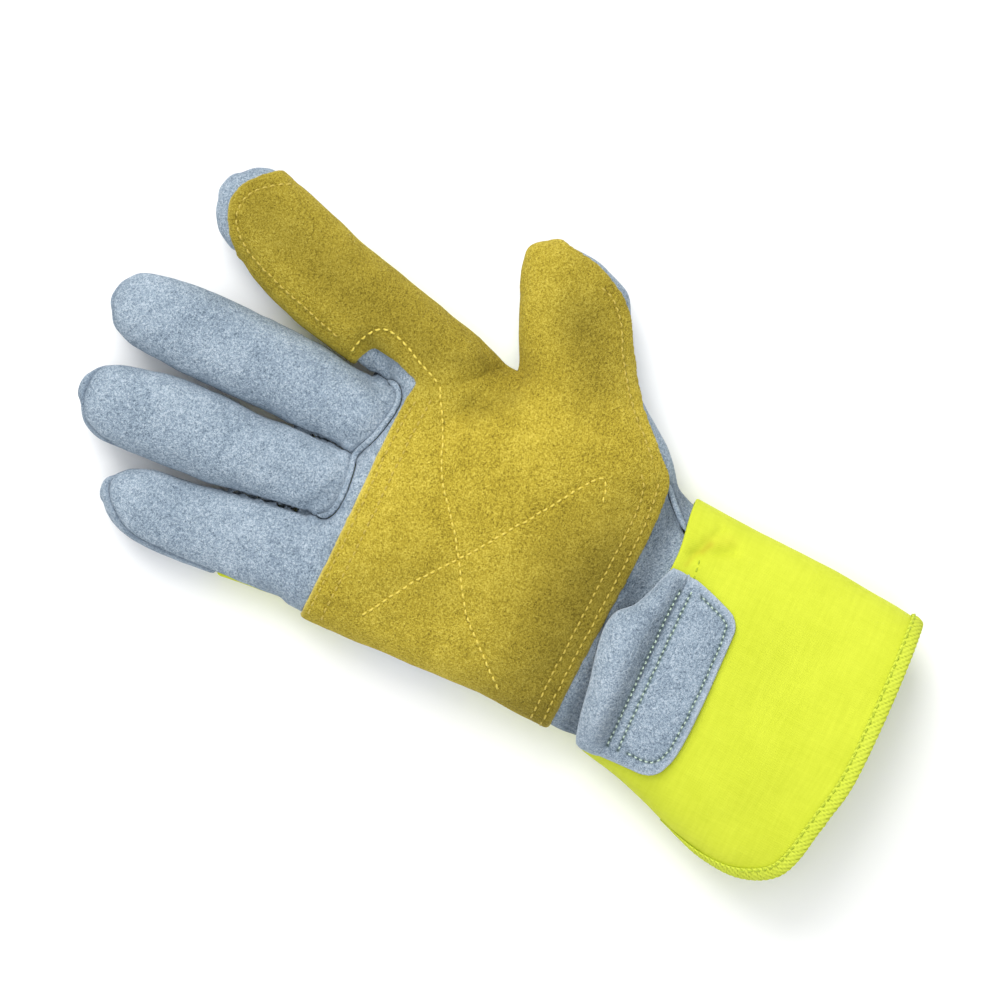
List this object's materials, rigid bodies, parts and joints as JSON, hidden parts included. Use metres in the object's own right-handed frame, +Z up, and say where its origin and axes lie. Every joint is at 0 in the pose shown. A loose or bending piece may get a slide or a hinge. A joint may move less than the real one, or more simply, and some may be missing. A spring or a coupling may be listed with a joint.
{
  "type": "leather work glove",
  "caption": "Right-hand leather work glove, palm up, with a gold double palm, a fabric back and a stiff open safety cuff.",
  "frame": {"origin": "on the surface that the glove lies on, under the middle of its outline", "axes": "+Y from the cuff to the fingertips, +X towards the thumb's side, +Z up out of the palm"},
  "size_m": [0.1497, 0.2627, 0.0416],
  "materials": {
    "grey_suede": "matt split suede with a short nap",
    "gold_suede": "matt split suede with a short nap, dyed gold",
    "hi_vis_fabric": "matt fluorescent yellow woven fabric",
    "binding_tape": "matt yellow twill tape"
  },
  "bodies": {
    "root": {"palm_leather": "grey_suede", "middle_finger_front": "grey_suede", "ring_finger_front": "grey_suede", "thumb_leather": "grey_suede", "back_fabric": "hi_vis_fabric", "little_fingertip_back": "grey_suede", "ring_fingertip_back": "grey_suede", "middle_fingertip_back": "grey_suede", "index_fingertip_back": "grey_suede", "double_palm": "gold_suede", "knuckle_strap": "grey_suede", "wrist_patch": "grey_suede", "cuff": "hi_vis_fabric", "cuff_binding": "binding_tape", "finger_welt": "grey_suede", "thumb_welt": "grey_suede"}
  },
  "joints": []
}
